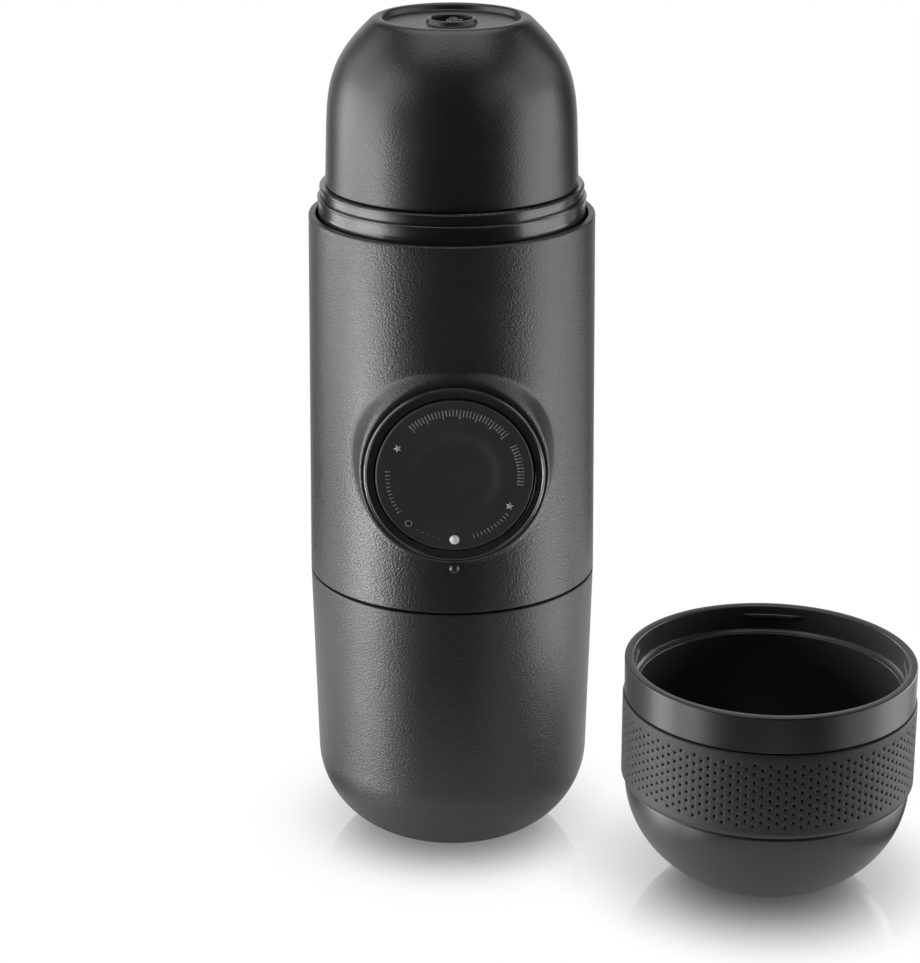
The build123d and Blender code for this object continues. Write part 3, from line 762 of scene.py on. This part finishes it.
def knob_marks():
    """Generic printing: a filled and an open dot joined by small ones, two stars, plain ticks."""
    locked, unlocked, mark_r = 180.0, 222.7, 12.8
    dot = Shape()
    ink(dot, circle_points(at_clock(mark_r, locked), 0.92))
    dot.piece("knob_dot", [printed("ink_white", 0.6)], "knob", "knob_plastic", place=ON_PISTON)

    faint = Shape()
    spot = at_clock(mark_r, unlocked)
    outer, inner = circle_points(spot, 0.68), circle_points(spot, 0.5)
    open_dot = ((outer, INK_LOW), (outer, INK_TOP), (inner, INK_TOP), (inner, INK_LOW))
    faint.grid([[(*p, z) for p in ring] for ring, z in open_dot], closed=True)
    for i in range(5):
        ink(faint, circle_points(at_clock(mark_r, 193.6 + 4.93 * i), 0.1, 12))
    tick_low_r, long_low_r, tick_r = 11.9, 11.4, 13.2
    for i, degrees in enumerate(np.arange(-40, 51, 3.0)):
        low_r = long_low_r if i % 5 == 0 else tick_low_r
        ink(faint, bar_points(low_r, tick_r, degrees, 0.11))
    for degrees in np.arange(62, 99, 3.0):
        ink(faint, bar_points(tick_low_r, tick_r, degrees, 0.11))
    for first, last in ((128, 164), (236, 278)):
        for degrees in np.arange(first, last, 3.5):
            ink(faint, bar_points(12.2, 13.0, degrees, 0.1))
    faint.piece("knob_ticks", [printed("ink_faint", 0.13)], "knob", "knob_plastic", place=ON_PISTON)

    stars = Shape()
    for degrees, lean in ((-62.4, -20), (120, 10)):
        ink(stars, star_points(at_clock(12.05, degrees), 0.85, lean))
    stars.piece("knob_stars", [printed("ink_grey", 0.33)], "knob", "knob_plastic", place=ON_PISTON)


def outlet_head():
    """The dome, with the ring and the well for the spout."""
    skirt_r, bore, seat_r, seat_z = 22.9, 21.0, 19.6, 142.0
    dome_low = 134.7
    shoulder = (24.04, 145.93)
    crest_start = (15.34, 166.23)
    recess_r, recess_z = 13.1, 165.5
    ring_r, ring_top, well_r, well_z, hole_r = 4.95, 166.4, 3.9, 162.6, 2.4
    ceiling_r = 11.0
    section = rounded(
        [
            (bore, HEAD_LOW_Z, 0.3),
            (skirt_r, HEAD_LOW_Z, 0.3),
            (skirt_r, dome_low, 0.2),
            (DOME_R, dome_low, 0.25),
            *bezier([shoulder, (23.73, 155.15), (22.51, 159.41), crest_start], 40)[:-1],
            (*crest_start, 0),
            (14.9, 166.5, 0),
            (14.35, CREST_Z - 0.05, 0),
            (13.95, CREST_Z, 0),
            (recess_r + 0.45, CREST_Z - 0.03, 0),
            (recess_r + 0.15, CREST_Z - 0.16, 0),
            (recess_r - 0.02, CREST_Z - 0.42, 0),
            (recess_r - 0.2, recess_z, 0.3),
            (ring_r, recess_z, 0.12),
            (ring_r - 0.38, ring_top - 0.05, 0.2),
            (well_r + 0.2, ring_top, 0.12),
            (well_r, ring_top - 0.2, 0.1),
            (well_r, well_z, 0.2),
            (hole_r, well_z, 0.1),
            (hole_r, well_z - 1.4, 0.1),
            (ceiling_r, 160.0),
            *reversed(ellipse((ceiling_r, seat_z + 2), seat_r - ceiling_r, 16.0, 0, 88)),
            (seat_r, seat_z, 0.1),
            (bore, seat_z, 0.1),
        ]
    )
    shape = Shape()
    shape.turn(section, segments=224)
    thread(shape, skirt_r, 128.6, 2.6, 1.5, proud=0.4)
    return shape.piece("dome", [MATERIALS["head_plastic"]], "head", "head_plastic", ["outlet_head"])


def spout():
    """Three rounded lobes with a bore each, standing in the well on top of the dome."""
    well_r, low, floor_z, tip = 3.88, 162.62, 163.85, 166.2
    fine_r, off_centre, bore_depth = 2.45, 0.3, 2.2
    lobes = ((-0.1, -0.5, 1.1, 0.5), (1.45, -0.5, 0.72, 0.3), (0.3, 1.2, 0.8, 0.28))

    def height(x, y):
        top, cut = floor_z, 0.0
        for lobe_x, lobe_y, lobe_r, bore_r in lobes:
            reach = math.hypot(x - lobe_x, y - lobe_y)
            rounding = 0.45 * lobe_r
            edge = max(0.0, reach - lobe_r + rounding) / rounding
            fall = 1 - math.sqrt(max(0.0, 1 - edge * edge)) if edge < 1 else 1.0
            side = smooth(lobe_r, lobe_r + 0.12, reach)
            top = max(top, tip - rounding * fall - (tip - rounding - floor_z) * side)
            cut = max(cut, bore_depth * (1 - smooth(bore_r - 0.06, bore_r + 0.14, reach)))
        return top - cut

    radii = np.concatenate([np.arange(0, fine_r, 0.05), [2.8, 3.4, well_r]])
    turns = np.linspace(0, 2 * math.pi, 160, endpoint=False)
    rows = []
    for radius in radii:
        centre = 0.0 if radius > fine_r else off_centre
        places = [(centre + radius * math.cos(t), centre + radius * math.sin(t)) for t in turns]
        rows.append([(x, y, height(x, y)) for x, y in places])
    rows.append([(x, y, low) for x, y, _ in rows[-1]])
    rows.append([(0, 0, low)] * len(turns))
    shape = Shape()
    shape.grid(rows, closed=True)
    materials = [MATERIALS["inner_plastic"]]
    return shape.piece("dome_spout", materials, "head", "inner_plastic", ["spout_insert"])


def neck():
    """Fine outer skin of the neck: lip, two bands and the ridge between them."""
    skin = 0.02            # how far it stands off the CAD neck
    low_r, high_r, lip_r, bore = 25.7 + skin, 25.25 + skin, 25.45 + skin, 23.7 - skin
    step_z, lip_low, lip_z = 132.1, 134.0, 134.6 + skin
    hidden_r, hidden_z = 24.9, 129.4
    section = rounded(
        [
            (hidden_r, hidden_z),
            (low_r, hidden_z),
            (low_r, step_z, 0.12),
            (high_r, step_z + 0.12, 0.1),
            (high_r, lip_low - 0.12, 0.05),
            (high_r - 0.15, lip_low - 0.02, 0.04),
            (lip_r + 0.08, lip_low + 0.06, 0.06),
            (lip_r + 0.08, lip_z - 0.2, 0.25),
            (bore + 0.9, lip_z, 0.3),
            (bore, lip_z, 0.15),
            (bore, lip_z - 0.4),
            (hidden_r, lip_z - 0.6),
        ]
    )
    shape = Shape()
    shape.turn(section, segments=288)
    winding_ridge(shape)
    return shape.piece("neck_skin", [MATERIALS["gloss_black"]], "main_body", "gloss_black")


def winding_ridge(shape):
    """The ridge the cup screws on to. It winds a little more than once round the neck, sinking slowly."""
    steps, first, sweep = 330, 26, 402
    root_r, high_z, drop = 25.0, 132.35, 0.3
    rounding = ((-0.08, -0.26), (0, -0.16), (0.01, 0.0), (-0.04, 0.14), (-0.16, 0.24))
    rows = []
    for step in range(steps + 1):
        share = step / steps
        clock = math.radians(first + sweep * share)
        top = 25.3 + 0.67 * smooth(0, 0.07, min(share, 1 - share))
        section = [(root_r, -0.28), *((top + wider, z) for wider, z in rounding), (root_r, 0.3)]
        middle = high_z - drop * share
        rows.append([(r * math.sin(clock), -r * math.cos(clock), middle + z) for r, z in section])
    shape.grid(rows, closed=True)


# Cup -----------------------------------------------------------------------------------------------

SLEEVE_BORE = 27.3


def cup_bowl():
    """The cup, with its foot, ledge and lugs."""
    bore, ledge_z, ledge_r = 26.7, 40.4, 25.5
    middle_r, floor = 5.0, 2.4
    bowl_r = CUP_R - 0.3
    depth = SLEEVE_LOW_Z + 0.45
    foot_r, foot_z = 9.5, 0.35
    cut = math.degrees(math.asin((SLEEVE_LOW_Z - foot_z) / depth))
    inside_r, inside_z = ledge_r - 0.2, SLEEVE_LOW_Z + 2
    groove_z = SLEEVE_TOP_Z + 0.1
    outside = rounded(
        [
            (0, 0),
            (foot_r, 0, 0.3),
            *ellipse((middle_r, SLEEVE_LOW_Z), bowl_r - middle_r, depth, -cut, 0, 32),
            (SLEEVE_BORE, SLEEVE_LOW_Z + 0.05),
            (SLEEVE_BORE, groove_z, 0.05),
            (CUP_R - 0.25, groove_z, 0.1),
            (CUP_R + 0.05, groove_z + 0.3, 0.25),
            (CUP_R + 0.15, CUP_HEIGHT, 0.32),
            (bore + 0.45, CUP_HEIGHT),
        ],
        closed=False,
    )
    inside = rounded(
        [
            (bore + 0.45, CUP_HEIGHT),
            (bore, CUP_HEIGHT - 0.1, 0.3),
            (bore, ledge_z + 0.5, 0.3),
            (bore - 0.55, ledge_z, 0.3),
            (ledge_r, ledge_z, 0.4),
            *reversed(ellipse((middle_r, inside_z), inside_r - middle_r, inside_z - floor, 270, 360)),
            (0, floor),
        ],
        closed=False,
    )
    shape = Shape()
    shape.turn(outside, segments=224, closed=False)
    shape.turn(inside, segments=224, closed=False, part=1)
    for quarter in range(4):
        lug(shape, math.radians(90 * quarter - 7.8), bore)
    # The inside's lighter grey is painted fill light in the bowl.
    materials = [MATERIALS["cup_plastic"], MATERIALS["cup_gloss"]]
    return shape.piece("cup_body", materials, "cup", "cup_plastic", ["cup_bowl"], ON_CUP)


def lug(shape, middle, bore):
    """One of the four ribs inside the cup's mouth that turn under the neck's ridge."""
    low, high, face_r, root_r = 43.4, 44.2, 26.1, bore + 0.2
    steps, chamfer = 24, 0.15
    half = 6.0 / bore
    rows = []
    for step in range(steps + 1):
        angle = middle - half + 2 * half * step / steps
        fade = smooth(0, 0.15, min(step, steps - step) / steps)
        radius = bore - 0.05 + (face_r - bore + 0.05) * fade
        section = (
            (root_r, low),
            (radius + 0.1, low),
            (radius, low + chamfer),
            (radius, high - chamfer),
            (radius + 0.1, high),
            (root_r, high),
        )
        rows.append([(r * math.cos(angle), r * math.sin(angle), z) for r, z in section])
    shape.grid(rows, closed=True, part=1)


def cup_sleeve():
    """Rubber band with staggered columns of pin-hole dimples, one in each cell of a regular field."""
    columns, long_count, pitch = 120, 8, 1.8
    top_row = SLEEVE_TOP_Z - 2.1
    field_top = top_row + pitch / 2
    field_low = field_top - long_count * pitch
    cell = 2 * math.pi / columns
    half_u, half_v = cell * SLEEVE_R / 2, pitch / 2
    across = [half_u * (j / 2 - 1) for j in range(5)]
    dimple, dimple_depth = ((0.41, 0.0), (0.33, 0.03), (0.27, 0.16), (0.16, 0.3)), 0.34
    sides = (((1, 1), (0, -1)), ((1, -1), (-1, 0)), ((-1, -1), (0, 1)), ((-1, 1), (1, 0)))
    border = []
    for (u, v), (to_u, to_v) in sides:
        border.extend((half_u * (u + to_u * i / 2), half_v * (v + to_v * i / 2)) for i in range(4))

    def around(u, z, depth, angle):
        radius = SLEEVE_R - depth
        turned = angle + u / SLEEVE_R
        return (radius * math.cos(turned), radius * math.sin(turned), z)

    shape = Shape()
    for column in range(columns):
        angle = cell * column
        short = column % 2
        first = top_row - (pitch / 2 if short else 0)
        for row in range(long_count - short):
            z = first - pitch * row
            rows = [[around(u, z + v, 0.0, angle) for u, v in border]]
            for radius, depth in dimple:
                scales = [radius / math.hypot(u, v) for u, v in border]
                rows.append([around(u * s, z + v * s, depth, angle) for (u, v), s in zip(border, scales)])
            rows.append([around(0, z, dimple_depth, angle)] * len(border))
            shape.grid(rows, closed=True)
        if short:
            for start in (field_top, field_low + pitch / 2):
                heights = (start, start - pitch / 4, start - pitch / 2)
                shape.grid([[around(u, z, 0.0, angle) for u in across] for z in heights])
    rest = rounded(
        [
            (SLEEVE_R, field_top),
            (SLEEVE_R, SLEEVE_TOP_Z, 0.35),
            (SLEEVE_BORE, SLEEVE_TOP_Z, 0.1),
            (SLEEVE_BORE, SLEEVE_LOW_Z, 0.1),
            (SLEEVE_R - 0.45, SLEEVE_LOW_Z, 0.15),
            (SLEEVE_R, SLEEVE_LOW_Z + 0.9, 0.3),
            (SLEEVE_R, field_low),
        ],
        closed=False,
    )
    angles = [cell * column + u / SLEEVE_R for column in range(columns) for u in across[:-1]]
    shape.grid([[(r * math.cos(a), r * math.sin(a), z) for a in angles] for r, z in rest], closed=True)
    materials = [MATERIALS["grip_rubber"]]
    return shape.piece("cup_sleeve", materials, "cup", "grip_rubber", ["cup_grip_sleeve"], ON_CUP)


# Stage ---------------------------------------------------------------------------------------------

def camera():
    """The photograph's camera, solved from its ellipses and outlines."""
    down, right = 0.3459, 0.0173
    data = bpy.data.cameras.new("camera")
    data.lens = 105.3
    data.sensor_width = 36.0
    data.clip_start, data.clip_end = 0.01, 20.0
    holder = bpy.data.objects.new("camera", data)
    holder.location = Vector((-7.60, -529.80, 264.26)) * MM
    holder.rotation_euler = Euler((math.pi / 2 - down, 0, -right))
    bpy.context.scene.collection.objects.link(holder)
    bpy.context.scene.camera = holder


def softbox(name, place, aim, width, height, radiance):
    """Area light of a given brightness, facing a point. Places are in millimetres."""
    data = bpy.data.lights.new(name, "AREA")
    data.shape = "RECTANGLE"
    data.size, data.size_y = width * MM, height * MM
    data.energy = radiance * math.pi * width * height * MM * MM
    holder = bpy.data.objects.new(name, data)
    holder.location = Vector(place) * MM
    away = (Vector(place) - Vector(aim)).normalized()
    holder.rotation_euler = away.to_track_quat("Z", "Y").to_euler()
    bpy.context.scene.collection.objects.link(holder)
    return holder


def panel(name, side, first, last, distance, low, high, radiance, centre=(0, 0)):
    """Upright softbox beside the object, between two angles from the camera's side; side is -1 or 1."""
    middle, half = math.radians((first + last) / 2), math.radians((last - first) / 2)
    height = (low + high) / 2
    x, y = centre
    place = (x + side * distance * math.sin(middle), y - distance * math.cos(middle), height)
    width = 2 * distance * math.tan(half)
    return softbox(name, place, (x, y, height), width, high - low, radiance)


def reach(light, things, state):
    """Limits a light and the shadows it throws: to some things (INCLUDE) or to all others (EXCLUDE)."""
    group = bpy.data.collections.new(light.name + "_reach")
    for thing in things:
        group.objects.link(thing)
    for entry in group.collection_objects:
        entry.light_linking.link_state = state
    light.light_linking.receiver_collection = group
    light.light_linking.blocker_collection = group


def lights(cup):
    """Panels at both sides, the low ones down past the table's level. Maker and cup are lit one by one."""
    away = 450
    low, foot, mid, high = (-260, 0), (-420, -175), (0, 240), (240, 560)
    for name, side, first, last, heights, radiance in (
        ("left_low", -1, 56, 88, (-200, 0), 10.5),
        ("left_low_wide", -1, 45, 125, low, 1.5),
        ("left", -1, 60, 122, mid, 5.2),
        ("left_high", -1, 60, 132, high, 2.0),
        ("left_top", -1, 42, 84, high, 1.5),
        ("right_low", 1, 60, 90, low, 2.7),
        ("right_low_wide", 1, 60, 130, low, 1.3),
        ("right_foot", 1, 62, 115, foot, 4.5),
        ("right", 1, 60, 110, mid, 3.4),
        ("right_high", 1, 60, 125, high, 1.5),
        ("right_top", 1, 30, 70, high, 0.8),
    ):
        reach(panel(name, side, first, last, away, *heights, radiance), cup, "EXCLUDE")
    for name, side, first, last, heights, radiance in (
        ("cup_left_front", -1, 58, 76, low, 4.5),
        ("cup_left_low", -1, 88, 108, low, 7.0),
        ("cup_left", -1, 78, 148, mid, 9.0),
        ("cup_right_low", 1, 46, 108, low, 1.6),
        ("cup_right_low_back", 1, 84, 130, low, 1.8),
        ("cup_right", 1, 80, 148, mid, 5.5),
    ):
        reach(panel(name, side, first, last, away, *heights, radiance, (CUP_X, CUP_Y)), cup, "INCLUDE")
    softbox("top_box", (0, 60, 620), (0, 0, 90), 500, 500, 2.2)


def mixed(tree, share, first, second):
    """The first shader, or the second as far as the share says."""
    made = tree.nodes.new("ShaderNodeMixShader")
    tree.links.new(share, made.inputs["Fac"])
    tree.links.new(first, made.inputs[1])
    tree.links.new(second, made.inputs[2])
    return made.outputs["Shader"]


def emission(tree, strength):
    made = tree.nodes.new("ShaderNodeEmission")
    tree.links.new(strength, made.inputs["Strength"])
    return made.outputs["Emission"]


def world():
    """A dim room with a grey card behind the object.

    Camera and transmission rays see it white all round. Glossy rays see it white only where the card is.
    """
    dim, card = 0.03, 0.6
    made = bpy.data.worlds.new("studio")
    made.use_nodes = True
    tree = made.node_tree
    background = tree.nodes["Background"]
    place = tree.nodes.new("ShaderNodeTexCoord")
    split = tree.nodes.new("ShaderNodeSeparateXYZ")
    path = tree.nodes.new("ShaderNodeLightPath").outputs
    tree.links.new(place.outputs["Generated"], split.inputs["Vector"])
    behind = ranged(tree, split.outputs["Y"], 0.80, 0.95, 0.0, 1.0)
    seen = calculated(tree, "MAXIMUM", path["Is Camera Ray"], path["Is Transmission Ray"])
    mirrored = calculated(tree, "MULTIPLY", path["Is Glossy Ray"], behind)
    white = calculated(tree, "MAXIMUM", seen, mirrored)
    room = calculated(tree, "MULTIPLY_ADD", behind, card - dim, dim)
    tree.links.new(calculated(tree, "MAXIMUM", white, room), background.inputs["Strength"])
    background.inputs["Color"].default_value = (1, 1, 1, 1)
    bpy.context.scene.world = made


def distance_from(tree, place, x, y, across=1.0, along=1.0):
    """Distance on the table from a place, in units of across (x) and along (y) millimetres."""
    made = tree.nodes.new("ShaderNodeMapping")
    made.vector_type = "POINT"
    made.inputs["Scale"].default_value = (1 / (across * MM), 1 / (along * MM), 0)
    made.inputs["Location"].default_value = (-x / across, -y / along, 0)
    tree.links.new(place, made.inputs["Vector"])
    length = tree.nodes.new("ShaderNodeVectorMath")
    length.operation = "LENGTH"
    tree.links.new(made.outputs["Vector"], length.inputs[0])
    return length.outputs["Value"]


def floor_material():
    """White polished table, made of three looks.

    Camera and transmission rays see it glow white, with a painted shadow (the glow dimmed by ambient
    occlusion) round each foot and a reflection that fades from each foot. Near the feet and behind the
    object, glossy rays see it glow white with a deeper painted shade from ambient occlusion, and light
    finds it matt.
    Further out it is clear to both, so that the low panels reach the object's lower walls.
    """
    made = bpy.data.materials.new("floor")
    made.use_nodes = True
    made.cycles.emission_sampling = "NONE"
    tree = made.node_tree
    tree.nodes.clear()
    output = tree.nodes.new("ShaderNodeOutputMaterial")
    path = tree.nodes.new("ShaderNodeLightPath").outputs
    place = tree.nodes.new("ShaderNodeTexCoord").outputs["Object"]
    shade = tree.nodes.new("ShaderNodeAmbientOcclusion")
    shade.inputs["Distance"].default_value = 0.022
    shade.samples = 12

    mirror = tree.nodes.new("ShaderNodeBsdfGlossy")
    mirror.inputs["Roughness"].default_value = 0.05
    # Painted shadow: the white glow that the camera sees is dimmed by ambient occlusion near the object's
    # feet.
    glow = emission(tree, ranged(tree, shade.outputs["AO"], 0.0, 1.0, 0.6, 1.0))
    by_maker = ranged(tree, distance_from(tree, place, 0, 0), 8, 36, 0.75, 0.0)
    by_cup = ranged(tree, distance_from(tree, place, CUP_X, CUP_Y), 8, 42, 0.92, 0.0)
    shine = calculated(tree, "MAXIMUM", by_maker, by_cup)
    polished = mixed(tree, shine, glow, mirror.outputs["BSDF"])

    matt = tree.nodes.new("ShaderNodeBsdfDiffuse")
    matt.inputs["Color"].default_value = (0.65, 0.65, 0.65, 1)
    # Painted shade for glossy rays: the white glow is dimmed strongly by ambient occlusion under the
    # object.
    mirrored = emission(tree, ranged(tree, shade.outputs["AO"], 0.0, 1.0, 0.1, 1.0))
    near = mixed(tree, path["Is Glossy Ray"], matt.outputs["BSDF"], mirrored)

    clear = tree.nodes.new("ShaderNodeBsdfTransparent")
    by_maker = distance_from(tree, place, 0, -12, 31, 62)
    by_cup = distance_from(tree, place, CUP_X, CUP_Y - 20, 31, 75)
    at_back = distance_from(tree, place, 20, 75, 130, 65)
    nearest = calculated(tree, "MINIMUM", calculated(tree, "MINIMUM", by_maker, by_cup), at_back)
    beyond = ranged(tree, nearest, 0.95, 1.2, 0.0, 1.0)
    table = mixed(tree, beyond, near, clear.outputs["BSDF"])

    seen = calculated(tree, "MAXIMUM", path["Is Camera Ray"], path["Is Transmission Ray"])
    tree.links.new(mixed(tree, seen, table, polished), output.inputs["Surface"])
    return made


def floor():
    """Round table top; the room beyond its edge is just as white to the camera."""
    mesh = bpy.data.meshes.new("floor")
    radius, count = 240, 96
    turns = [2 * math.pi * i / count for i in range(count)]
    rim = [Vector((radius * math.cos(turn), radius * math.sin(turn), 0)) * MM for turn in turns]
    mesh.from_pydata(rim, [], [tuple(range(count))])
    mesh.materials.append(floor_material())
    sheet = bpy.data.objects.new("floor", mesh)
    bpy.context.scene.collection.objects.link(sheet)


camera()
dress_nodes()
water_tank()
outer_shell()
knob_collar()
piston_knob()
knob_marks()
neck()
outlet_head()
spout()
cup = [cup_bowl(), cup_sleeve()]
lights(cup)
world()
floor()
bpy.context.scene.view_settings.view_transform = "Standard"
